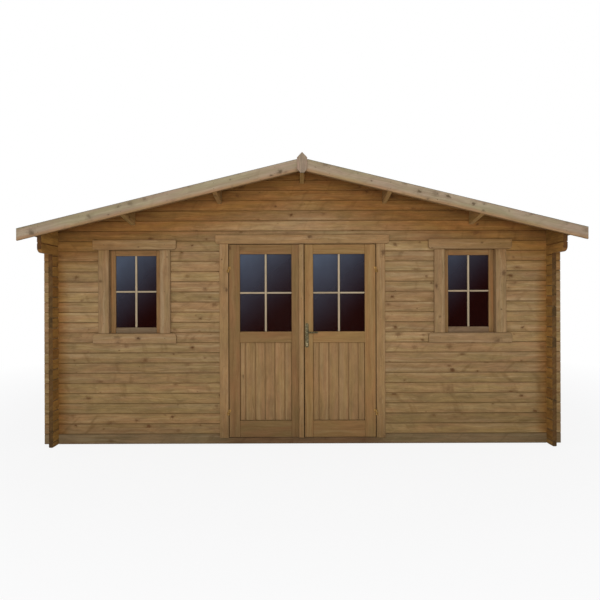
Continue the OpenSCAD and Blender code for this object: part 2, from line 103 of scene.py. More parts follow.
# Round heads of screws and nails. Their tops, rim and socket wall are parts of the radius.
SCREW_R = 0.0038
SCREW_RISE = 0.0007
SCREW_SIDES = 12
SCREW_TOP = 0.75
SCREW_RIM = 0.35
SOCKET_WALL = 0.08
NAIL_R = 0.0045
NAIL_RISE = 0.0006
NAIL_SIDES = 8
NAIL_TOP = 0.8

# Places of screws: distances along the barge boards, and parts of a board's height or length
BARGE_SCREWS = (0.25, 0.812, 1.24, 1.666, 2.05, 2.425)
BARGE_SCREW_PARTS = (0.25, 0.75)
JAMB_SCREW_PARTS = (0.12, 0.37, 0.62, 0.87)
HEAD_SCREW_PARTS = (-0.85, -0.3, 0.3, 0.85)
STRIP_SCREW_PARTS = (0.06, 0.28, 0.5, 0.72, 0.94)

# Handle, from the lower end of its plate
PLATE_W = 0.034
PLATE_H = 0.240
PLATE_T = 0.004
LOCK_RISE = 0.040
LOCK_R = 0.0085
LOCK_LEG_W = 0.010
LOCK_LEG_H = 0.0245
LOCK_REACH = 0.010

JAMB_W = 0.088

# Weathering and painted shade: depths below the roof between which a wall grows warm and darker, partly with
# painted eave shade, heights between which splashes darken wood and their share at the foot, half widths of
# the sill stretch that wear and painted shade under the doors darken, and the height of a row of knots
WALL_SHELTER_AND_SHADE = (0.5, 0.2)
WALL_SPLASH = (1.0, 0.0, 0.8)
DOOR_SPLASH = (0.5, 0.1, 0.9)
DOORWAY_DARK_END = 0.95
DOORWAY_DARK_FULL = 0.65
KNOT_ROW = 0.1

# Start of each pane's painted reflection: each pane shows its own part of the painted bluish reflection, and
# the right window the darkest
PAINTED_REFLECTION_START = {"left_window_glass": -0.04, "left_door_glass": 0.14, "right_door_glass": 0.07,
               "right_window_glass": 0.58}

# Window frame, from its outer flange inwards
FLANGE_W = 0.045
FLANGE_T = 0.020
LINING_T = 0.020
SASH_SIDE_W = 0.046
SASH_END_H = 0.056
SASH_RECESS = 0.029
SASH_T = 0.032

# Stage: a floor that fades to white, a dark card that the panes mirror, soft light all round and a key lamp
FLOOR_HALF = 60
FLOOR_FADE_START = 3.5
FLOOR_FADE_END = 7
FLOOR_WHITE = 0.87
FLAG_PLACE = Vector((0, -9, 2.0))
FLAG_HALF_W = 7
FLAG_HALF_H = 2.4
SOFT_LIGHT = 0.55
KEY_PLACE = Vector((-0.4, -10.5, 2.3))
KEY_TARGET = Vector((0, -1.9, 1.4))
KEY_SIZE = 4
KEY_POWER = 312

# Meshes
MERGE_DISTANCE = 0.00001
FLAT_ANGLE = math.radians(1)
EDGE_ANGLE = math.radians(35)
GRAIN_SPREAD = 40
END_LIMIT = 0.3
TOP_LIMIT = 0.999
NO_MARGIN = Vector((1, 1))

# Inner faces of the side walls, beside which the front keeps its warm tone and gets painted corner shade
CORNER_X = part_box("right_wall")[0].x
CORNER_REACH = 0.12
CORNER_SLACK = 0.0006

# Height at which the undersides of the two slopes would meet
ROOF_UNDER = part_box("left_roof_deck")[1].z - DECK_T

# Depth of the barge boards' lower edges below the roof's underside, and of the band there that is tinted
# warmer and darker
BARGE_FOOT = ROOF_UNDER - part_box("front_barge_boards")[1].z + BARGE_V
BARGE_BAND = 0.04

chance = random.Random(79)


def colour(code):
    """Linear colour of an sRGB hex value."""
    parts = [int(code[i:i + 2], 16) / 255 for i in (1, 3, 5)]
    linear = [p / 12.92 if p <= 0.04045 else ((p + 0.055) / 1.055) ** 2.4 for p in parts]
    return (*linear, 1.0)


def feed(tree, node, inputs):
    """Links or sets a node's inputs."""
    for socket, value in inputs.items():
        if isinstance(value, bpy.types.NodeSocket):
            tree.links.new(value, node.inputs[socket])
        else:
            node.inputs[socket].default_value = value


def add(tree, kind, inputs=None, **settings):
    """Adds a node with its settings, and links or sets its inputs."""
    node = tree.nodes.new(kind)
    for name, value in settings.items():
        setattr(node, name, value)
    feed(tree, node, inputs or {})
    return node


def new_material(name):
    """A material with one shader, and its node tree."""
    material = bpy.data.materials.new(name)
    material.use_nodes = True
    tree = material.node_tree
    tree.nodes.clear()
    shader = add(tree, "ShaderNodeBsdfPrincipled")
    add(tree, "ShaderNodeOutputMaterial", {"Surface": shader.outputs[0]})
    return material, tree, shader


# Materials

def figure(tree, at, length, width, detail, roughness=0.5, distortion=0.0):
    """Soft marks in wood, of a length along the grain and a width across it."""
    drawn = add(tree, "ShaderNodeMapping", {"Vector": at, "Scale": (length, width, 1)}, vector_type="TEXTURE")
    marks = {"Vector": drawn.outputs[0], "Scale": 1, "Detail": detail, "Roughness": roughness,
             "Distortion": distortion}
    return add(tree, "ShaderNodeTexNoise", marks, noise_dimensions="2D").outputs[0]


def knot_marks(tree, grain, knots, knot_gap):
    """Dark knots, and the darker wood around them: one possible knot in each stretch of a board.

    They are up to 20 mm in radius, and longer along the grain.
    """
    cell = (knot_gap, KNOT_ROW, 1)
    knot_at = add(tree, "ShaderNodeMapping", {"Vector": grain, "Scale": cell}, vector_type="TEXTURE")
    spot = knot_at.outputs[0]
    cells = add(tree, "ShaderNodeTexVoronoi", {"Vector": spot, "Scale": 1}, voronoi_dimensions="2D")
    away = add(tree, "ShaderNodeVectorMath", {0: spot, 1: cells.outputs["Position"]}, operation="SUBTRACT")
    metres = add(tree, "ShaderNodeVectorMath", {0: away.outputs[0], 1: (cell[0] * 0.75, cell[1], 0)},
                 operation="MULTIPLY")
    straight = add(tree, "ShaderNodeVectorMath", {0: metres.outputs[0]}, operation="LENGTH").outputs["Value"]
    # Their outlines wander over 20 mm
    uneven = add(tree, "ShaderNodeTexNoise", {"Vector": grain, "Scale": 1 / 0.02}, noise_dimensions="2D")
    wander = add(tree, "ShaderNodeMapRange", {0: uneven.outputs[0], 1: 0.3, 2: 0.7, 3: 0.7, 4: 1.4})
    distance = add(tree, "ShaderNodeMath", {0: straight, 1: wander.outputs[0]}, operation="MULTIPLY")
    pick = add(tree, "ShaderNodeSeparateColor", {0: cells.outputs["Color"]}).outputs
    radius = add(tree, "ShaderNodeMapRange", {0: pick[0], 1: knots, 2: 1, 3: 0.0004, 4: 0.02}).outputs[0]
    ratio = add(tree, "ShaderNodeMath", {0: distance.outputs[0], 1: radius}, operation="DIVIDE").outputs[0]
    depth = add(tree, "ShaderNodeMapRange", {0: pick[1], 3: 0.2, 4: 0.9}).outputs[0]
    core = add(tree, "ShaderNodeMapRange", {0: ratio, 1: 1.2, 2: 0.5, 4: depth}).outputs[0]
    halo = add(tree, "ShaderNodeMapRange", {0: ratio, 1: 2.6, 2: 0.9, 4: 0.28}).outputs[0]
    return core, halo


def sawn_end(tree, wood, from_pith, place, own, late):
    """Wood cut across the grain, with rings about 5 mm apart. Each end soaks up dirt in its own measure."""
    away = add(tree, "ShaderNodeVectorMath", {0: from_pith}, operation="LENGTH").outputs["Value"]
    turns = add(tree, "ShaderNodeMath", {0: away, 1: 2 * math.pi / 0.005}, operation="MULTIPLY").outputs[0]
    wave = add(tree, "ShaderNodeMath", {0: turns}, operation="SINE").outputs[0]
    rings = add(tree, "ShaderNodeMapRange", {0: wave, 1: -1, 2: 1, 4: 0.5}).outputs[0]
    cut = add(tree, "ShaderNodeMix", {0: rings, 6: wood, 7: colour(late)}, data_type="RGBA").outputs[2]
    # Dirt in patches 60 mm across
    grime = add(tree, "ShaderNodeTexNoise", {"Vector": place, "Scale": 1 / 0.06, "Detail": 3}).outputs[0]
    grey = add(tree, "ShaderNodeMapRange", {0: grime, 1: 0.35, 2: 0.6, 4: 0.85}).outputs[0]
    taken = add(tree, "ShaderNodeMath", {0: grey, 1: own}, operation="MULTIPLY").outputs[0]
    return add(tree, "ShaderNodeMix", {0: taken, 6: cut, 7: colour("#524222")}, data_type="RGBA").outputs[2]


def timber(name, reddish, olive, late, pale, knot, joint=None, seam=0.004, shelter_and_shade_tint=None, shelter_and_shade_depths=WALL_SHELTER_AND_SHADE,
           fresh_and_bounce=None, damp=None, splash=WALL_SPLASH, trodden_and_shaded=None, knots=0.5, knot_gap=0.36, scars=0.5,
           spread=0.12, patchy=0.14, sawn="#cbbd9f"):
    """Sawn and planed spruce left outdoors.

    Each board has its own tone and drifts between reddish and olive. Late wood runs along it in streaks,
    slanting shadows cross it where branches grew, and dark knots lie scattered in it. The streaks are drawn
    about four times as wide as the real ones, which are too fine to show.
    """
    material, tree, shader = new_material(name)
    straight_grain = add(tree, "ShaderNodeUVMap", uv_map="grain").outputs[0]
    margins = add(tree, "ShaderNodeUVMap", uv_map="margins").outputs[0]
    tone = add(tree, "ShaderNodeAttribute", attribute_name="board").outputs["Fac"]
    end_face = add(tree, "ShaderNodeAttribute", attribute_name="end_grain").outputs["Fac"]
    place = add(tree, "ShaderNodeTexCoord").outputs["Object"]
    at = add(tree, "ShaderNodeSeparateXYZ", {0: place}).outputs
    out = add(tree, "ShaderNodeMath", {0: at["X"]}, operation="ABSOLUTE").outputs[0]
    # A second number of each board's own, from its tone
    many = add(tree, "ShaderNodeMath", {0: tone, 1: 7.3}, operation="MULTIPLY").outputs[0]
    own = add(tree, "ShaderNodeMath", {0: many}, operation="FRACT").outputs[0]

    # The grain swings by up to 9 mm to either side within 0.3 m
    swing = figure(tree, straight_grain, 0.3, 0.09, 1)
    aside = add(tree, "ShaderNodeMapRange", {0: swing, 1: 0.3, 2: 0.7, 3: -0.009, 4: 0.009}).outputs[0]
    offset = add(tree, "ShaderNodeCombineXYZ", {"Y": aside}).outputs[0]
    grain = add(tree, "ShaderNodeVectorMath", {0: straight_grain, 1: offset}, operation="ADD").outputs[0]

    # Stains 0.45 m long and 70 mm wide
    stain = figure(tree, grain, 0.45, 0.07, 3)
    lean = add(tree, "ShaderNodeMapRange", {0: own, 3: -spread, 4: spread}).outputs[0]
    drift = add(tree, "ShaderNodeMath", {0: stain, 1: lean}, operation="ADD").outputs[0]
    turn = add(tree, "ShaderNodeMapRange", {0: drift, 1: 0.34, 2: 0.66}).outputs[0]
    wood = add(tree, "ShaderNodeMix", {0: turn, 6: colour(reddish), 7: colour(olive)},
               data_type="RGBA").outputs[2]

    # Streaks 0.6 m long and 8 mm wide, and pale bands 1.3 m long and 35 mm wide
    fine = figure(tree, grain, 0.6, 0.008, 4, roughness=0.6)
    broad = figure(tree, grain, 1.3, 0.035, 3, distortion=0.4)
    # Slanting shadows 90 mm wide, at each board's own slant
    slant = add(tree, "ShaderNodeMapRange", {0: own, 3: -1.3, 4: 1.3}).outputs[0]
    way = add(tree, "ShaderNodeSeparateXYZ", {0: grain}).outputs
    shift = add(tree, "ShaderNodeMath", {0: way["Y"], 1: slant}, operation="MULTIPLY").outputs[0]
    shifted = add(tree, "ShaderNodeMath", {0: way["X"], 1: shift}, operation="ADD").outputs[0]
    leaning = add(tree, "ShaderNodeCombineXYZ", {"X": shifted, "Y": way["Y"]}).outputs[0]
    scar = figure(tree, leaning, 0.09, 0.4, 2)
    # Pale flecks 90 mm long and 6 mm wide
    fleck = figure(tree, grain, 0.09, 0.006, 1)
    for marks, start, full, most, tint in ((fine, 0.45, 0.75, 0.5, late), (broad, 0.5, 0.75, 0.6, pale),
                                           (scar, 0.6, 0.8, scars, late), (fleck, 0.68, 0.82, 0.7, pale)):
        share = add(tree, "ShaderNodeMapRange", {0: marks, 1: start, 2: full, 4: most}).outputs[0]
        wood = add(tree, "ShaderNodeMix", {0: share, 6: wood, 7: colour(tint)}, data_type="RGBA").outputs[2]

    washes = []
    if shelter_and_shade_tint:
        # Wood under the roof and in the corners is tinted warmer and darker: the tone of wood that rain
        # doesn't reach, and painted shade under the eaves and in the corners
        eaves = add(tree, "ShaderNodeMath", {0: out, 1: -SLOPE, 2: ROOF_UNDER}, operation="MULTIPLY_ADD")
        below = add(tree, "ShaderNodeMath", {0: eaves.outputs[0], 1: at["Z"]}, operation="SUBTRACT")
        kept = add(tree, "ShaderNodeMapRange",
                   {0: below.outputs[0], 1: shelter_and_shade_depths[0], 2: shelter_and_shade_depths[1]}).outputs[0]
        if fresh_and_bounce:
            near = add(tree, "ShaderNodeMapRange", {0: out, 1: CORNER_X - CORNER_REACH, 2: CORNER_X})
            within = add(tree, "ShaderNodeMath", {0: out, 1: CORNER_X + CORNER_SLACK}, operation="LESS_THAN")
            nook = add(tree, "ShaderNodeMath", {0: near.outputs[0], 1: within.outputs[0]},
                       operation="MULTIPLY").outputs[0]
            kept = add(tree, "ShaderNodeMath", {0: kept, 1: nook}, operation="MAXIMUM").outputs[0]
        washes.append((kept, shelter_and_shade_tint))
    if damp:
        # Splashed wood near the ground turns dark and dull
        top, foot, most = splash
        wet = add(tree, "ShaderNodeMapRange", {0: at["Z"], 1: top, 2: foot, 4: most}).outputs[0]
        washes.append((wet, damp))
    if trodden_and_shaded:
        # Shoes and spilt water darken the sill across the doorway, and painted shade under the door leaves
        # darkens it further
        doorway = add(tree, "ShaderNodeMapRange", {0: out, 1: DOORWAY_DARK_END, 2: DOORWAY_DARK_FULL}).outputs[0]
        washes.append((doorway, trodden_and_shaded))
    for share, tint in washes:
        wood = add(tree, "ShaderNodeMix", {0: share, 6: wood, 7: colour(tint)}, data_type="RGBA",
                   blend_type="MULTIPLY").outputs[2]

    # Weather leaves darker and lighter patches 0.2 m long and 50 mm wide
    patch = figure(tree, grain, 0.2, 0.05, 4, roughness=0.65)
    shade = add(tree, "ShaderNodeMapRange", {0: patch, 1: 0.3, 2: 0.7, 3: 1 - patchy, 4: 1 + patchy})
    level = add(tree, "ShaderNodeMapRange", {0: tone, 3: 1 - spread, 4: 1 + spread})
    both = add(tree, "ShaderNodeMath", {0: level.outputs[0], 1: shade.outputs[0]},
               operation="MULTIPLY").outputs[0]
    wood = add(tree, "ShaderNodeVectorMath", {0: wood, "Scale": both}, operation="SCALE").outputs[0]
    core, halo = knot_marks(tree, grain, knots, knot_gap)
    for share in (halo, core):
        wood = add(tree, "ShaderNodeMix", {0: share, 6: wood, 7: colour(knot)}, data_type="RGBA").outputs[2]
    if joint:
        # Dirt and shade gather along the edges where boards meet
        sides = add(tree, "ShaderNodeSeparateXYZ", {0: margins}).outputs
        nearest = add(tree, "ShaderNodeMath", {0: sides["X"], 1: sides["Y"]}, operation="MINIMUM").outputs[0]
        most = add(tree, "ShaderNodeMapRange", {0: broad, 1: 0.3, 2: 0.7, 3: 0.05, 4: 0.7}).outputs[0]
        narrow = add(tree, "ShaderNodeMapRange", {0: stain, 1: 0.3, 2: 0.7, 3: 1.5, 4: 0.6}).outputs[0]
        inward = add(tree, "ShaderNodeMath", {0: nearest, 1: narrow}, operation="MULTIPLY").outputs[0]
        dirt = add(tree, "ShaderNodeMapRange", {0: inward, 1: seam * 0.2, 2: seam, 3: most, 4: 0}).outputs[0]
        wood = add(tree, "ShaderNodeMix", {0: dirt, 6: wood, 7: colour(joint)}, data_type="RGBA").outputs[2]
    if fresh_and_bounce:
        # The inner faces of the side walls are mixed towards a brighter orange, each log in its own measure:
        # wood that has seen little weather, and painted warm bounce light on faces that lie in shade
        inside = add(tree, "ShaderNodeMath", {0: out, 1: CORNER_X, 2: CORNER_SLACK}, operation="COMPARE")
        measure = add(tree, "ShaderNodeMapRange", {0: own, 3: 0.19, 4: 0.57}).outputs[0]
        unworn_and_bounce = add(tree, "ShaderNodeMath", {0: inside.outputs[0], 1: measure}, operation="MULTIPLY")
        vivid = add(tree, "ShaderNodeMath", {0: both, 1: 2}, operation="POWER").outputs[0]
        new = add(tree, "ShaderNodeVectorMath", {0: colour(fresh_and_bounce)[:3], "Scale": vivid}, operation="SCALE")
        wood = add(tree, "ShaderNodeMix", {0: unworn_and_bounce.outputs[0], 6: wood, 7: new.outputs[0]},
                   data_type="RGBA").outputs[2]

    cut = sawn_end(tree, wood, straight_grain, place, own, late)
    cut = add(tree, "ShaderNodeMix", {0: end_face, 6: cut, 7: colour(sawn)}, data_type="RGBA",
              blend_type="MULTIPLY").outputs[2]
    wood = add(tree, "ShaderNodeMix", {0: end_face, 6: wood, 7: cut}, data_type="RGBA").outputs[2]
    relief = add(tree, "ShaderNodeMath", {0: fine, 1: core}, operation="SUBTRACT").outputs[0]
    bump = add(tree, "ShaderNodeBump", {"Height": relief, "Strength": 0.5, "Distance": 0.0015}).outputs[0]
    rough = add(tree, "ShaderNodeMapRange", {0: fine, 1: 0.3, 2: 0.7, 3: 0.68, 4: 0.88}).outputs[0]
    feed(tree, shader, {"Base Color": wood, "Roughness": rough, "Normal": bump, "Specular IOR Level": 0.25})
    return material


def window_glass():
    """Float glass over a dark room: it mirrors faintly, and its colour holds a painted bluish reflection
    towards its upper left over painted dark red shade of the room.
    """
    material, tree, shader = new_material("float_glass")
    pane = add(tree, "ShaderNodeUVMap", uv_map="pane").outputs[0]
    way = add(tree, "ShaderNodeSeparateXYZ", {0: pane}).outputs
    # Painted reflection: bluish towards the upper left, fading into the painted dark red shade of the room,
    # uneven in patches
    over = add(tree, "ShaderNodeMapRange", {0: way["X"], 3: 0.28, 4: -0.18}, clamp=False)
    lit = add(tree, "ShaderNodeMath", {0: way["Y"], 1: 0.86, 2: over.outputs[0]}, operation="MULTIPLY_ADD",
              use_clamp=True)
    painted_reflection_fade = add(tree, "ShaderNodeMath", {0: lit.outputs[0], 1: 2}, operation="POWER").outputs[0]
    reflection_patches = add(tree, "ShaderNodeTexNoise", {"Vector": pane, "Scale": 3, "Detail": 3}, noise_dimensions="2D")
    uneven = add(tree, "ShaderNodeMapRange", {0: reflection_patches.outputs[0], 1: 0.3, 2: 0.7, 3: 0.85, 4: 1}).outputs[0]
    painted_reflection_share = add(tree, "ShaderNodeMath", {0: painted_reflection_fade, 1: uneven}, operation="MULTIPLY").outputs[0]
    tint = add(tree, "ShaderNodeMix", {0: painted_reflection_share, 6: colour("#270c09"), 7: colour("#5f6a7c")}, data_type="RGBA")
    feed(tree, shader, {"Base Color": tint.outputs[2], "Roughness": 0.03, "IOR": 1.5,
                        "Transmission Weight": 0.3})
    return material


def plated_steel(name, dull, bright):
    """Steel with a bronze or brass finish: a dull brown skin, rubbed brighter in patches."""
    material, tree, shader = new_material(name)
    place = add(tree, "ShaderNodeTexCoord").outputs["Object"]
    # Patches 12 mm across
    patch = add(tree, "ShaderNodeTexNoise", {"Vector": place, "Scale": 1 / 0.012, "Detail": 4}).outputs[0]
    rubbed = add(tree, "ShaderNodeMapRange", {0: patch, 1: 0.45, 2: 0.7}).outputs[0]
    skin = add(tree, "ShaderNodeMix", {0: rubbed, 6: colour(dull), 7: colour(bright)}, data_type="RGBA")
    rough = add(tree, "ShaderNodeMapRange", {0: patch, 1: 0.3, 2: 0.7, 3: 0.55, 4: 0.32}).outputs[0]
    feed(tree, shader, {"Base Color": skin.outputs[2], "Roughness": rough, "Metallic": 0.8})
    return material


def mineral_felt():
    """Bitumen felt dressed with slate grit: dark, matt and speckled.

    The grit is drawn at 6 mm, about four times its real size, which is too fine to show.
    """
    material, tree, shader = new_material("mineral_felt")
    place = add(tree, "ShaderNodeTexCoord").outputs["Object"]
    grit = add(tree, "ShaderNodeTexVoronoi", {"Vector": place, "Scale": 1 / 0.006})
    shade = add(tree, "ShaderNodeSeparateColor", {0: grit.outputs["Color"]}).outputs[0]
    # Damp and worn patches 0.4 m across
    patch = add(tree, "ShaderNodeTexNoise", {"Vector": place, "Scale": 1 / 0.4, "Detail": 4}).outputs[0]
    speck = add(tree, "ShaderNodeMix", {0: shade, 6: colour("#3b3e3a"), 7: colour("#6a6e66")},
                data_type="RGBA")
    worn = add(tree, "ShaderNodeMapRange", {0: patch, 1: 0.4, 2: 0.7, 4: 0.7}).outputs[0]
    skin = add(tree, "ShaderNodeMix", {0: worn, 6: speck.outputs[2], 7: colour("#5c5f52")}, data_type="RGBA")
    # Each row comes from another roll
    roll = add(tree, "ShaderNodeAttribute", attribute_name="board").outputs["Fac"]
    level = add(tree, "ShaderNodeMapRange", {0: roll, 3: 0.88, 4: 1.12}).outputs[0]
    skin = add(tree, "ShaderNodeVectorMath", {0: skin.outputs[2], "Scale": level}, operation="SCALE")
    bump = add(tree, "ShaderNodeBump", {"Height": grit.outputs["Distance"], "Strength": 0.4,
                                        "Distance": 0.001})
    feed(tree, shader, {"Base Color": skin.outputs[0], "Roughness": 0.92, "Normal": bump.outputs[0]})
    return material


def dull_zinc():
    """Hot-dipped zinc on nails: light grey and dull, in spangles of differing shade."""
    material, tree, shader = new_material("dull_zinc")
    place = add(tree, "ShaderNodeTexCoord").outputs["Object"]
    # Spangles 3 mm across
    spangle = add(tree, "ShaderNodeTexVoronoi", {"Vector": place, "Scale": 1 / 0.003}).outputs["Color"]
    shade = add(tree, "ShaderNodeSeparateColor", {0: spangle}).outputs[0]
    skin = add(tree, "ShaderNodeMix", {0: shade, 6: colour("#7d8082"), 7: colour("#a4a7a8")},
               data_type="RGBA")
    rough = add(tree, "ShaderNodeMapRange", {0: shade, 3: 0.42, 4: 0.6}).outputs[0]
    feed(tree, shader, {"Base Color": skin.outputs[2], "Roughness": rough, "Metallic": 0.9})
    return material


def worn_brass():
    """Turned brass at the lock: pale and soft, with fine scratches that break its shine."""
    material, tree, shader = new_material("worn_brass")
    place = add(tree, "ShaderNodeTexCoord").outputs["Object"]
    # Scratches 2 mm apart, about ten times as wide as the real ones
    worn = add(tree, "ShaderNodeTexNoise", {"Vector": place, "Scale": 1 / 0.002, "Detail": 3}).outputs[0]
    skin = add(tree, "ShaderNodeMix", {0: worn, 6: colour("#a08c66"), 7: colour("#c4b38c")}, data_type="RGBA")
    rough = add(tree, "ShaderNodeMapRange", {0: worn, 1: 0.3, 2: 0.7, 3: 0.38, 4: 0.55}).outputs[0]
    feed(tree, shader, {"Base Color": skin.outputs[2], "Roughness": rough, "Metallic": 0.7})
    return material


# The warm tints of logs, barge boards and trims hold painted shade under the eaves and in the corners besides
# the tone of unweathered wood; the fresh tint of the logs holds painted warm bounce light besides it
log_wood = timber("weathered_spruce_logs", "#97754f", "#92784d", "#73552f", "#ac916a", "#553212",
                  joint="#593f1e", seam=0.006, shelter_and_shade_tint="#e9cb98", fresh_and_bounce="#a88242", damp="#d6d3c4", knots=0.4,
                  knot_gap=0.32, patchy=0.18, sawn="#b5a27a")
# The sill's trodden tint holds painted shade under the door leaves besides wear
sill_wood = timber("damp_spruce_sill", "#8b7151", "#837151", "#644e2f", "#9a8568", "#4a2d13",
                   joint="#47331a", seam=0.005, damp="#d6d3c4", trodden_and_shaded="#dcc9bd")
rail_wood = timber("greyed_spruce_rails", "#775e44", "#6f5e46", "#5a4730", "#857259", "#4a2d13", knots=0.9)
purlin_wood = timber("spruce_purlins", "#a57f4e", "#9e7e49", "#7b582e", "#b4925f", "#55371d", scars=0.2)
roof_wood = timber("spruce_roof_boards", "#a07a4e", "#98784a", "#83602f", "#b59463", "#5d3c1f", knots=0.7)
barge_wood = timber("grey_spruce_barge_boards", "#a28b74", "#978a69", "#7f6d52", "#ae9f83", "#5d4c36",
                    joint="#84745a", shelter_and_shade_tint="#fddfbb", shelter_and_shade_depths=(BARGE_FOOT - BARGE_BAND, BARGE_FOOT),
                    knots=0.15, knot_gap=0.13, scars=0.3, spread=0.05, patchy=0.08)
finial_wood = timber("grey_spruce_finials", "#a68873", "#98866f", "#735e4a", "#b9a286", "#5d4935", knots=0.9,
                     scars=0.7)
floor_wood = timber("planed_spruce_floor", "#b39264", "#ab9062", "#94703f", "#c2a577", "#68452a")
trim_wood = timber("spruce_window_trim", "#967550", "#8f744d", "#765a3a", "#a68c69", "#4a2f16",
                   joint="#6e5337", seam=0.003, shelter_and_shade_tint="#f6e6c8", knots=0.35, knot_gap=0.24, scars=0.3,
                   spread=0.05)
jamb_wood = timber("spruce_door_trim", "#98744b", "#917349", "#765736", "#a68862", "#4a2f16",
                   joint="#6b4f32", seam=0.003, damp="#d0cfc6", splash=DOOR_SPLASH, knots=0.6, scars=0.3,
                   spread=0.05)
left_leaf_wood = timber("oiled_spruce_left_leaf", "#85603a", "#7e6239", "#674827", "#8e7047", "#4e3116",
                        damp="#dedfdd", splash=DOOR_SPLASH, knots=0.9, scars=0.15, spread=0.05, patchy=0.08)
right_leaf_wood = timber("oiled_spruce_right_leaf", "#946d41", "#8d6e40", "#71502c", "#9f8053", "#4e3116",
                         damp="#dedfdd", splash=DOOR_SPLASH, knots=0.9, scars=0.15, spread=0.05, patchy=0.08)
panel_wood = timber("oiled_spruce_panel_boards", "#95714a", "#8e7045", "#735532", "#9f835b", "#4e3116",
                    joint="#5c4223", seam=0.003, damp="#dedfdd", splash=DOOR_SPLASH, knots=0.9, scars=0.15,
                    spread=0.05)
sash_wood = timber("oiled_spruce_sashes", "#8c633a", "#85653c", "#6a4a29", "#96774e", "#4e3116",
                   knots=0.85, scars=0.15, spread=0.05)
bar_wood = timber("pale_spruce_bars", "#ad997c", "#a6967a", "#8d7a5e", "#b8a98e", "#6b5234", knots=0.95,
                  scars=0.1)
pane_glass = window_glass()
bronze = plated_steel("patinated_bronze", "#4b442f", "#7d7354")
brassed = plated_steel("dull_brass_plating", "#7c5a2c", "#b08f52")
brass = worn_brass()
zinc = dull_zinc()
felt = mineral_felt()


# Shapes

def grain_layers(shape):
    """The maps and marks that timber reads.

    They are made before any face is kept, because making one renews all faces.
    """
    for name in ("grain", "margins"):
        if name not in shape.loops.layers.uv:
            shape.loops.layers.uv.new(name)
    for name in ("board", "end_grain"):
        if name not in shape.faces.layers.float:
            shape.faces.layers.float.new(name)
    uv, marks = shape.loops.layers.uv, shape.faces.layers.float
    return uv["grain"], uv["margins"], marks["board"], marks["end_grain"]


def lay_grain(shape, faces, along):
    """Marks the faces of one board, in metres.

    In the grain map u runs along the board and v across it, from a random start. The margins map holds the
    distances to the two edges of each side.
    """
    grain, margins, board_tone, end_grain = grain_layers(shape)
    start = Vector((chance.uniform(0, GRAIN_SPREAD), chance.uniform(0, GRAIN_SPREAD)))
    tone = chance.random()
    places = [loop.vert.co for face in faces for loop in face.loops]
    pith = sum(places, Vector()) / len(places)
    side = along.orthogonal().normalized()
    other = along.cross(side)
    sides = {}
    for face in faces:
        across = face.normal.cross(along)
        face[board_tone] = tone
        face[end_grain] = float(across.length < END_LIMIT)
        if face[end_grain]:
            for loop in face.loops:
                spot = loop.vert.co - pith
                loop[grain].uv = (spot.dot(side), spot.dot(other))
                loop[margins].uv = NO_MARGIN
        else:
            across.normalize()
            sides.setdefault(tuple(round(c, 2) for c in across), []).append(face)
    for direction, members in sides.items():
        across = Vector(direction).normalized()
        reach = [vert.co.dot(across) for face in members for vert in face.verts]
        for face in members:
            for loop in face.loops:
                v = loop.vert.co.dot(across)
                loop[grain].uv = start + Vector((loop.vert.co.dot(along), v))
                loop[margins].uv = (v - min(reach), max(reach) - v)


def boards_of(shape):
    """The faces of each separate board in a shape."""
    shape.faces.ensure_lookup_table()
    for face in shape.faces:
        face.tag = False
    groups = []
    for first in shape.faces:
        if first.tag:
            continue
        first.tag = True
        group = [first]
        for face in group:
            for edge in face.edges:
                for near in edge.link_faces:
                    if not near.tag:
                        near.tag = True
                        group.append(near)
        groups.append(group)
    return groups


def round_edges(shape, radius, segments=2):
    """Rounds every sharp edge. Only the rounded strips are shaded smooth."""
    shape.normal_update()
    flat = {tuple(round(c, 3) for c in face.normal) for face in shape.faces}
    sharp = [e for e in shape.edges if e.is_manifold and e.calc_face_angle() > EDGE_ANGLE]
    bmesh.ops.bevel(shape, geom=sharp, offset=radius, offset_type="OFFSET", segments=segments, profile=0.5,
                    affect="EDGES", material=-1, clamp_overlap=True)
    shape.normal_update()
    for face in shape.faces:
        face.smooth = tuple(round(c, 3) for c in face.normal) not in flat


def node_shape(node, rounding=0.0):
    """A copy of a CAD node's mesh with its triangles joined, and its edges rounded if asked for."""
    shape = bmesh.new()
    shape.from_mesh(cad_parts[node].data)
    bmesh.ops.remove_doubles(shape, verts=shape.verts, dist=MERGE_DISTANCE)
    if rounding:
        bmesh.ops.dissolve_limit(shape, angle_limit=FLAT_ANGLE, verts=shape.verts, edges=shape.edges)
        round_edges(shape, rounding)
    shape.normal_update()
    return shape


def board(low, high, along, rounding=BOARD_EDGE, place=None):
    """A board between two corners, with eased edges and grain along an axis."""
    shape = bmesh.new()
    low, high = Vector(low), Vector(high)
    at = Matrix.Translation((low + high) / 2) @ Matrix.Diagonal((*(high - low), 1))
    bmesh.ops.create_cube(shape, size=1, matrix=at)
    round_edges(shape, rounding, segments=1)
    if place:
        shape.transform(place)
    shape.normal_update()
    grain_layers(shape)
    lay_grain(shape, list(shape.faces), along)
    return shape


def piece(name, shapes, finish, body, slot, *nodes, smooth=False):
    """One object made of several shapes, which rides on a body and may stand for CAD nodes."""
    whole = bmesh.new()
    for shape in shapes:
        part = bpy.data.meshes.new("part")
        shape.to_mesh(part)
        shape.free()
        whole.from_mesh(part)
        bpy.data.meshes.remove(part)
    mesh = bpy.data.meshes.new(name)
    whole.to_mesh(mesh)
    whole.free()
    if smooth:
        mesh.shade_smooth()
        mesh.set_sharp_from_angle(angle=EDGE_ANGLE)
    mesh.materials.append(finish)
    thing = bpy.data.objects.new(name, mesh)
    bpy.context.scene.collection.objects.link(thing)
    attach(thing, body)
    if nodes:
        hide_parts(*nodes)
    return thing


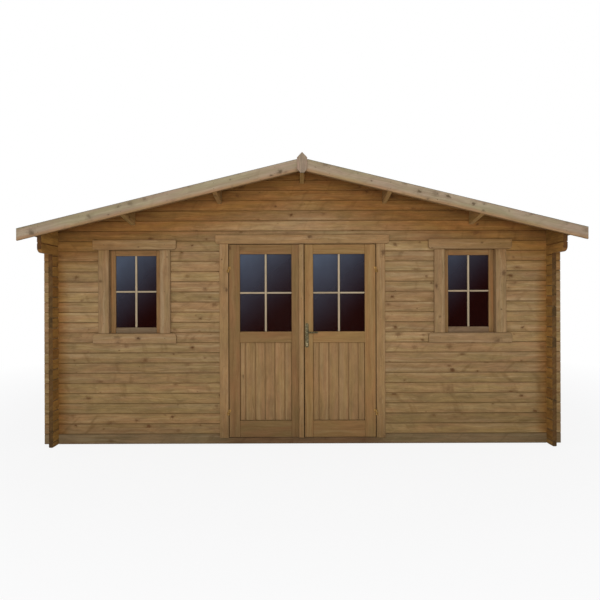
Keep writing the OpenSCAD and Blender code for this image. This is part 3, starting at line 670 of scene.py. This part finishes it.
def timber_copy(node, finish, body, slot, along=None, rounding=0.0):
    """A node's boards with grain laid along each: along the axis given, or along the board's longest side."""
    shape = node_shape(node, rounding)
    grain_layers(shape)
    for group in boards_of(shape):
        lay_grain(shape, group, along(group) if callable(along) else along or longest_axis(group))
    return piece(f"{node}_timber", [shape], finish, body, slot, node)


def longest_axis(faces):
    """The axis along which a group of faces reaches furthest."""
    places = [v.co for face in faces for v in face.verts]
    reach = [max(p[i] for p in places) - min(p[i] for p in places) for i in range(3)]
    return (ALONG_X, ALONG_Y, ALONG_Z)[reach.index(max(reach))]


def frame_boards(low, high, side_w, end_h, y0, y1, rails_over, rounding=BOARD_EDGE):
    """Four boards around an opening in X and Z, with the rails running over the stiles or between them."""
    x0, z0 = low[0], low[2]
    x1, z1 = high[0], high[2]
    over_x = side_w if rails_over else 0
    over_z = 0 if rails_over else end_h
    boards = []
    for za, zb in ((z0 - end_h, z0), (z1, z1 + end_h)):
        boards.append(board((x0 - over_x, y0, za), (x1 + over_x, y1, zb), ALONG_X, rounding))
    for xa, xb in ((x0 - side_w, x0), (x1, x1 + side_w)):
        boards.append(board((xa, y0, z0 - over_z), (xb, y1, z1 + over_z), ALONG_Z, rounding))
    return boards


def round_head(place, facing, sides, radius, top, rise):
    """A flat round head, with the radius of its top as a part of that of its foot."""
    shape = bmesh.new()
    at = Matrix.Translation(place) @ facing.to_track_quat("Z", "Y").to_matrix().to_4x4()
    bmesh.ops.create_cone(shape, cap_ends=True, segments=sides, radius1=radius, radius2=radius * top,
                          depth=2 * rise, matrix=at)
    shape.normal_update()
    return shape


def screw_head(place, facing, radius=SCREW_R):
    """A shallow round head with a socket in it."""
    shape = round_head(place, facing, SCREW_SIDES, radius, SCREW_TOP, SCREW_RISE)
    top = [face for face in shape.faces if face.normal.dot(facing) > TOP_LIMIT]
    bmesh.ops.inset_region(shape, faces=top, thickness=radius * SCREW_RIM)
    bmesh.ops.inset_region(shape, faces=top, thickness=radius * SOCKET_WALL, depth=-SCREW_RISE)
    return shape


def screws(name, body, places, facing=-ALONG_Y):
    """Screw heads in a face."""
    heads = [screw_head(place, facing) for place in places]
    piece(name, heads, bronze, body, "bronze_fittings")


def inset(low, high, dx, dz):
    """A box in X and Z moved in on all four sides."""
    return low + Vector((dx, 0, dz)), high - Vector((dx, 0, dz))


# Walls and roof timber

timber_copy("front_sill_log", sill_wood, "shed", "logs", ALONG_X)
for node in ("front_left_wall", "front_right_wall", "front_gable", "back_wall", "back_gable"):
    timber_copy(node, log_wood, "shed", "logs", ALONG_X)
for node in ("left_wall", "right_wall", "left_eave_logs", "right_eave_logs"):
    timber_copy(node, log_wood, "shed", "logs", ALONG_Y)
for node in ("ridge_purlin", "upper_purlins", "lower_purlins"):
    timber_copy(node, purlin_wood, "shed", "purlins", ALONG_Y, TIMBER_EDGE)


def down_slope(side):
    """The direction down the roof on one side."""
    return Vector((side * math.cos(ROOF_PITCH), 0, -math.sin(ROOF_PITCH)))


def slope_axis(faces):
    """The direction down the roof on the side where the faces lie."""
    return down_slope(math.copysign(1, sum(face.calc_center_median().x for face in faces)))


for node in ("front_barge_boards", "back_barge_boards"):
    timber_copy(node, barge_wood, "shed", "barge_boards", slope_axis, TIMBER_EDGE)
timber_copy("finials", finial_wood, "shed", "barge_boards", ALONG_Z, TIMBER_EDGE)


def barge_screws(name, facing):
    """Pairs of screws along a gable's barge boards."""
    low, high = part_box(f"{name}_barge_boards")
    outer = low.y if facing.y < 0 else high.y
    spots = []
    for side in SIDES.values():
        for x in BARGE_SCREWS:
            for part in BARGE_SCREW_PARTS:
                spots.append(Vector((side * x, outer, high.z - x * SLOPE - part * BARGE_V)))
    screws(f"{name}_barge_screws", "shed", spots, facing)


barge_screws("front", -ALONG_Y)
barge_screws("back", ALONG_Y)


def on_slope(side, base, tilt=0.0):
    """Shear that lays a level shape on a roof slope. Base is the height that its zero gets at the ridge."""
    return Matrix(((1, 0, 0, 0), (0, 1, 0, 0), (side * (tilt - SLOPE), 0, 1, base), (0, 0, 0, 1)))


def plan(side, near, far, y0, y1, z0, z1):
    """Low and high corners of a flat shape between two distances from the ridge."""
    xs = sorted((side * near, side * far))
    return (xs[0], y0, z0), (xs[1], y1, z1)


def roof_slope(name, side):
    """Boards, felt rows and drip edge of one slope."""
    low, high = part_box(f"{name}_roof_deck")
    ridge_under = high.z - DECK_T
    eave = max(abs(low.x), abs(high.x))
    near = min(abs(low.x), abs(high.x))
    along = down_slope(side)
    count = round((high.y - low.y) / ROOF_BOARD_W)
    step = (high.y - low.y) / count
    boards = []
    for i in range(count):
        y = low.y + i * step
        corners = plan(side, near, eave - 2 * FELT_T, y + BOARD_GAP, y + step - BOARD_GAP, 0, DECK_T)
        boards.append(board(*corners, along, TIMBER_EDGE, on_slope(side, ridge_under)))
    piece(f"{name}_roof_boards", boards, roof_wood, "shed", "roof_boards", f"{name}_roof_deck")

    rows = []
    nails = []
    outward = Vector((side * math.sin(ROOF_PITCH), 0, math.cos(ROOF_PITCH)))
    row_w = (eave - near) / FELT_ROWS
    for i in range(FELT_ROWS):
        far = eave - i * row_w
        top = max(near, far - row_w - FELT_LAP)
        lift = FELT_T / (far - top) if i else 0
        base = ridge_under + DECK_T - lift * top
        corners = plan(side, top, far, low.y, high.y, 0, FELT_T)
        laid = on_slope(side, base, lift)
        rows.append(board(*corners, along, FELT_EDGE, laid))
        for j in range(int((high.y - low.y) / NAIL_STEP)):
            spot = Vector((side * (far - NAIL_EDGE), low.y + (j + 0.5) * NAIL_STEP, FELT_T))
            nails.append(round_head(laid @ spot, outward, NAIL_SIDES, NAIL_R, NAIL_TOP, NAIL_RISE))
    drip = plan(side, eave - FELT_T, eave, low.y, high.y, DECK_T - FELT_DRIP, DECK_T)
    rows.append(board(*drip, ALONG_Y, FELT_EDGE, on_slope(side, ridge_under)))
    piece(f"{name}_felt_rows", rows, felt, "shed", "roof_felt", f"{name}_roof_felt")
    piece(f"{name}_felt_nails", nails, zinc, "shed", "roof_felt")


def barge_edging(name):
    """Strips of felt along the upper edges of a gable's barge boards."""
    low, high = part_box(f"{name}_barge_boards")
    strips = []
    for side in SIDES.values():
        cap = plan(side, EDGING_START, high.x, low.y, high.y, 0, EDGING_T)
        strips.append(board(*cap, down_slope(side), EDGING_EDGE, on_slope(side, high.z)))
    piece(f"{name}_barge_edging", strips, felt, "shed", "roof_felt")


for side_name, side_sign in SIDES.items():
    roof_slope(side_name, side_sign)
for gable_name in ("front", "back"):
    barge_edging(gable_name)
piece("ridge_felt_strip", [node_shape("ridge_felt", RIDGE_EDGE)], felt, "shed", "roof_felt", "ridge_felt")


# Floor

def floor_boards():
    """Boards across the joists, each row broken over another joist."""
    low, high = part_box("floor")
    count = round((high.y - low.y) / FLOOR_BOARD_W)
    step = (high.y - low.y) / count
    boards = []
    for i in range(count):
        y0 = low.y + i * step + BOARD_GAP
        y1 = low.y + (i + 1) * step - BOARD_GAP
        breaks = [low.x, low.x + (high.x - low.x) * (3 + 2 * (i % 2)) / 8, high.x]
        for x0, x1 in zip(breaks, breaks[1:]):
            boards.append(board((x0 + BOARD_GAP, y0, low.z), (x1 - BOARD_GAP, y1, high.z), ALONG_X))
    piece("floor_boards", boards, floor_wood, "shed", "floor_boards", "floor")


floor_boards()
timber_copy("floor_joists", floor_wood, "shed", "floor_boards", ALONG_Y, SAWN_EDGE)


# Glazing

def pane_shape(node):
    """A pane with a map that runs over a length of 1 across it."""
    shape = node_shape(node)
    low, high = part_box(node)
    size = high - low
    pane = shape.loops.layers.uv.new("pane")
    for face in shape.faces:
        for loop in face.loops:
            spot = loop.vert.co - low
            loop[pane].uv = (PAINTED_REFLECTION_START[node] + spot.x / size.x, spot.z / size.z)
    return shape


def glaze(node, body, lead):
    """A pane in its frame, with crossed bars on both faces and beads around it inside."""
    piece(f"{lead}_pane", [pane_shape(node)], pane_glass, body, "window_glass", node)
    low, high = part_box(node)
    low, high = inset(low, high, HELD_IN_GROOVE, HELD_IN_GROOVE)
    mid = (low + high) / 2
    bead_low, bead_high = inset(low, high, BEAD_W, BEAD_W)
    bars = frame_boards(bead_low, bead_high, BEAD_W, BEAD_W, high.y, high.y + BEAD_D, True, TIMBER_EDGE)
    half_w = BAR_W / 2
    half_h = BAR_H / 2
    for y0, y1, (near, far) in ((low.y - BAR_D, low.y, (low, high)),
                                (high.y, high.y + BAR_D, (bead_low, bead_high))):
        bars.append(board((mid.x - half_w, y0, near.z), (mid.x + half_w, y1, far.z), ALONG_Z, BAR_EDGE))
        for xa, xb in ((near.x, mid.x - half_w), (mid.x + half_w, far.x)):
            bars.append(board((xa, y0, mid.z - half_h), (xb, y1, mid.z + half_h), ALONG_X, BAR_EDGE))
    piece(f"{lead}_glazing_bars", bars, bar_wood, body, "door_boards" if "door" in lead else "trim_boards")


# Windows

def window(name):
    """Lining, inner flange, sash, pane, bars and trim boards of one window."""
    low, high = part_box(f"{name}_window_frame")
    low, high = inset(low, high, FLANGE_W + LINING_T, FLANGE_W + LINING_T)
    lining_low, lining_high = inset(low, high, -LINING_T, -LINING_T)
    sight_low, sight_high = inset(low, high, SASH_SIDE_W, SASH_END_H)
    sash_y = low.y + SASH_RECESS
    boards = frame_boards(low, high, LINING_T, LINING_T, low.y, high.y, True)
    boards += frame_boards(lining_low, lining_high, FLANGE_W, FLANGE_W, high.y - FLANGE_T, high.y, True)
    piece(f"{name}_window_lining", boards, trim_wood, "shed", "trim_boards", f"{name}_window_frame")
    sash = frame_boards(sight_low, sight_high, SASH_SIDE_W, SASH_END_H, sash_y, sash_y + SASH_T, False,
                        TIMBER_EDGE)
    lower_rail = sash.pop(0)
    piece(f"{name}_window_sash", sash, sash_wood, "shed", "trim_boards")
    # Rain stands on the lower rail and greys it
    piece(f"{name}_window_sash_rail", [lower_rail], rail_wood, "shed", "trim_boards")
    glaze(f"{name}_window_glass", "shed", f"{name}_window")
    timber_copy(f"{name}_window_trim", trim_wood, "shed", "trim_boards", rounding=TRIM_EDGE)

    trim_low, trim_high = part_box(f"{name}_window_trim")
    trim_h = (trim_high.z - trim_low.z - high.z + low.z) / 2
    levels = (low.z - trim_h / 2, low.z + trim_h, (low.z + high.z) / 2, high.z - trim_h, high.z + trim_h / 2)
    lines = (low.x - trim_h / 2, high.x + trim_h / 2)
    screws(f"{name}_window_screws", "shed", [Vector((x, trim_low.y, z)) for x in lines for z in levels])


for side_name in SIDES:
    window(side_name)


# Doorway and doors

timber_copy("door_jambs", jamb_wood, "shed", "trim_boards", ALONG_Z, TIMBER_EDGE)
timber_copy("door_head", jamb_wood, "shed", "trim_boards", ALONG_X, SAWN_EDGE)
timber_copy("door_head_trim", jamb_wood, "shed", "trim_boards", ALONG_X, TRIM_EDGE)


def door_leaf(name, finish):
    """Stiles, rails, grooved panel boards and glazing of one leaf."""
    body = f"{name}_door"
    low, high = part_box(f"{body}_frame")
    glass_low, glass_high = inset(*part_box(f"{body}_glass"), HELD_IN_GROOVE, HELD_IN_GROOVE)
    panel_low, panel_high = inset(*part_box(f"{body}_panel"), HELD_IN_GROOVE, HELD_IN_GROOVE)
    y0, y1 = low.y, high.y
    boards = []
    for xa, xb in ((low.x, glass_low.x), (glass_high.x, high.x)):
        boards.append(board((xa, y0, low.z), (xb, y1, high.z), ALONG_Z, TIMBER_EDGE))
    for za, zb in ((low.z, panel_low.z), (panel_high.z, glass_low.z), (glass_high.z, high.z)):
        boards.append(board((glass_low.x, y0, za), (glass_high.x, y1, zb), ALONG_X, TIMBER_EDGE))
    piece(f"{body}_joinery", boards, finish, body, "door_boards", f"{body}_frame")

    cuts = [panel_low.x, panel_low.x + PANEL_START[name]]
    while cuts[-1] + PANEL_BOARD_W < panel_high.x:
        cuts.append(cuts[-1] + PANEL_BOARD_W)
    cuts.append(panel_high.x)
    tongue_y = (panel_low.y + panel_high.y - TONGUE_T) / 2
    tongue = (panel_low.x, tongue_y, panel_low.z), (panel_high.x, tongue_y + TONGUE_T, panel_high.z)
    boards = [board(*tongue, ALONG_Z, TONGUE_EDGE)]
    for xa, xb in zip(cuts, cuts[1:]):
        ends = (xa + PANEL_GAP, panel_low.y, panel_low.z), (xb - PANEL_GAP, panel_high.y, panel_high.z)
        boards.append(board(*ends, ALONG_Z, PANEL_EDGE))
    piece(f"{body}_panel_boards", boards, panel_wood, body, "door_boards", f"{body}_panel")
    glaze(f"{body}_glass", body, body)


door_leaf("left", left_leaf_wood)
door_leaf("right", right_leaf_wood)
timber_copy("left_door_cover_strip", jamb_wood, "left_door", "door_boards", ALONG_Z, PANEL_EDGE)


def doorway_screws():
    """Screws in the jambs, the head trim and the cover strip."""
    low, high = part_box("door_jambs")
    trim_low, trim_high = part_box("door_head_trim")
    strip_low, strip_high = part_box("left_door_cover_strip")
    jamb_x = high.x - JAMB_W / 2
    spots = []
    for part in JAMB_SCREW_PARTS:
        z = low.z + part * (high.z - low.z)
        spots += [Vector((x, low.y, z)) for x in (-jamb_x, jamb_x)]
    for part in HEAD_SCREW_PARTS:
        spots.append(Vector((part * trim_high.x, trim_low.y, (trim_low.z + trim_high.z) / 2)))
    screws("doorway_screws", "shed", spots)
    middle = (strip_low.x + strip_high.x) / 2
    heights = [strip_low.z + part * (strip_high.z - strip_low.z) for part in STRIP_SCREW_PARTS]
    screws("cover_strip_screws", "left_door", [Vector((middle, strip_low.y, z)) for z in heights])


def handle_details():
    """Screws in the handle's outer plate, and the keyhole-shaped cylinder of the lock."""
    low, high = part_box("right_door_handle")
    leaf_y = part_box("right_door_frame")[0].y
    middle = low.x + PLATE_W / 2
    heights = (low.z + PLATE_W / 4, low.z + PLATE_H - PLATE_W / 2)
    screws("handle_screws", "right_door", [Vector((middle, leaf_y - PLATE_T, z)) for z in heights])
    lock = Vector((middle, leaf_y - LOCK_REACH, low.z + LOCK_RISE))
    barrel = screw_head(lock, -ALONG_Y, LOCK_R)
    foot = lock + Vector((-LOCK_LEG_W / 2, 0, -LOCK_LEG_H))
    leg = board(foot, lock + Vector((LOCK_LEG_W / 2, LOCK_REACH - PLATE_T, 0)), ALONG_Z, LOCK_EDGE)
    piece("lock_cylinder", [barrel, leg], brass, "right_door", "bronze_fittings")


doorway_screws()
handle_details()
for node, body, finish in (("door_frame_hinges", "shed", brassed),
                           ("left_door_hinges", "left_door", brassed),
                           ("right_door_hinges", "right_door", brassed),
                           ("right_door_handle", "right_door", bronze)):
    metal = node_shape(node, METAL_EDGE)
    piece(f"{node}_metal", [metal], finish, body, "bronze_fittings", node, smooth=True)


# Stage, light and camera

def seen_by_eye(tree):
    """1 for what the camera sees straight, mirrored or through glass, and 0 for light that bounces."""
    path = add(tree, "ShaderNodeLightPath").outputs
    seen = add(tree, "ShaderNodeMath", {0: path["Is Camera Ray"], 1: path["Is Glossy Ray"]},
               operation="MAXIMUM")
    return add(tree, "ShaderNodeMath", {0: seen.outputs[0], 1: path["Is Transmission Ray"]},
               operation="MAXIMUM").outputs[0]


def studio_sheet(name, place, shade, roughness):
    """A flat matt sheet of the studio, and its node tree and shader."""
    shape = bmesh.new()
    bmesh.ops.create_grid(shape, x_segments=1, y_segments=1, size=1, matrix=place)
    mesh = bpy.data.meshes.new(name)
    shape.to_mesh(mesh)
    shape.free()
    material, tree, shader = new_material(name)
    feed(tree, shader, {"Base Color": colour(shade), "Roughness": roughness, "Specular IOR Level": 0.0})
    mesh.materials.append(material)
    sheet = bpy.data.objects.new(name, mesh)
    bpy.context.scene.collection.objects.link(sheet)
    return sheet, tree, shader


def add_floor():
    """Pale studio floor that keeps the shed's shadow and fades into the white background."""
    place = Matrix.Diagonal((FLOOR_HALF, FLOOR_HALF, 1, 1))
    _, tree, shader = studio_sheet("studio_floor", place, "#f4f4f4", 0.9)
    spot = add(tree, "ShaderNodeTexCoord").outputs["Object"]
    away = add(tree, "ShaderNodeVectorMath", {0: spot}, operation="LENGTH").outputs["Value"]
    pale = add(tree, "ShaderNodeMapRange", {0: away, 1: FLOOR_FADE_START, 2: FLOOR_FADE_END, 3: FLOOR_WHITE,
                                            4: 1}).outputs[0]
    fade = add(tree, "ShaderNodeMath", {0: pale, 1: seen_by_eye(tree)}, operation="MULTIPLY").outputs[0]
    white = add(tree, "ShaderNodeEmission", {"Color": colour("#ffffff"), "Strength": 1}).outputs[0]
    both = add(tree, "ShaderNodeMixShader", {0: fade, 1: shader.outputs[0], 2: white}).outputs[0]
    tree.links.new(both, tree.nodes["Material Output"].inputs["Surface"])


def add_flag():
    """Dark card behind the camera, which only mirrors see, so that the panes show a dark room."""
    upright = Matrix.Translation(FLAG_PLACE) @ Matrix.Rotation(math.pi / 2, 4, "X")
    place = upright @ Matrix.Diagonal((FLAG_HALF_W, FLAG_HALF_H, 1, 1))
    flag, _, _ = studio_sheet("studio_flag", place, "#2c2726", 1.0)
    flag.visible_camera = False
    flag.visible_diffuse = False
    flag.visible_transmission = False
    flag.visible_shadow = False


def add_world():
    """Soft grey light from all round, and plain white for what looks straight at it."""
    world = bpy.data.worlds.new("studio")
    bpy.context.scene.world = world
    world.use_nodes = True
    tree = world.node_tree
    tree.nodes.clear()
    soft = add(tree, "ShaderNodeBackground", {"Color": colour("#f6f8ff"), "Strength": SOFT_LIGHT}).outputs[0]
    white = add(tree, "ShaderNodeBackground", {"Color": colour("#ffffff"), "Strength": 1}).outputs[0]
    both = add(tree, "ShaderNodeMixShader", {0: seen_by_eye(tree), 1: soft, 2: white}).outputs[0]
    add(tree, "ShaderNodeOutputWorld", {"Surface": both})


def add_key():
    """A square soft box that points at the front."""
    data = bpy.data.lights.new("key", "AREA")
    data.size = KEY_SIZE
    data.energy = KEY_POWER
    lamp = bpy.data.objects.new("key", data)
    lamp.location = KEY_PLACE
    lamp.rotation_euler = (KEY_TARGET - KEY_PLACE).to_track_quat("-Z", "Y").to_euler()
    bpy.context.scene.collection.objects.link(lamp)


def add_camera():
    """Camera at the photograph's place, level but for a slight roll."""
    data = bpy.data.cameras.new("camera")
    data.sensor_width = SENSOR
    data.lens = SENSOR * FOCAL_PIXELS / PHOTO_SIDE_PIXELS
    camera = bpy.data.objects.new("camera", data)
    level = Matrix.Rotation(math.pi / 2, 4, "X") @ Matrix.Rotation(CAMERA_ROLL, 4, "Z")
    camera.matrix_world = Matrix.Translation(CAMERA_PLACE) @ level
    bpy.context.scene.collection.objects.link(camera)
    bpy.context.scene.camera = camera


add_floor()
add_flag()
add_world()
add_key()
add_camera()
bpy.context.scene.view_settings.view_transform = "Standard"
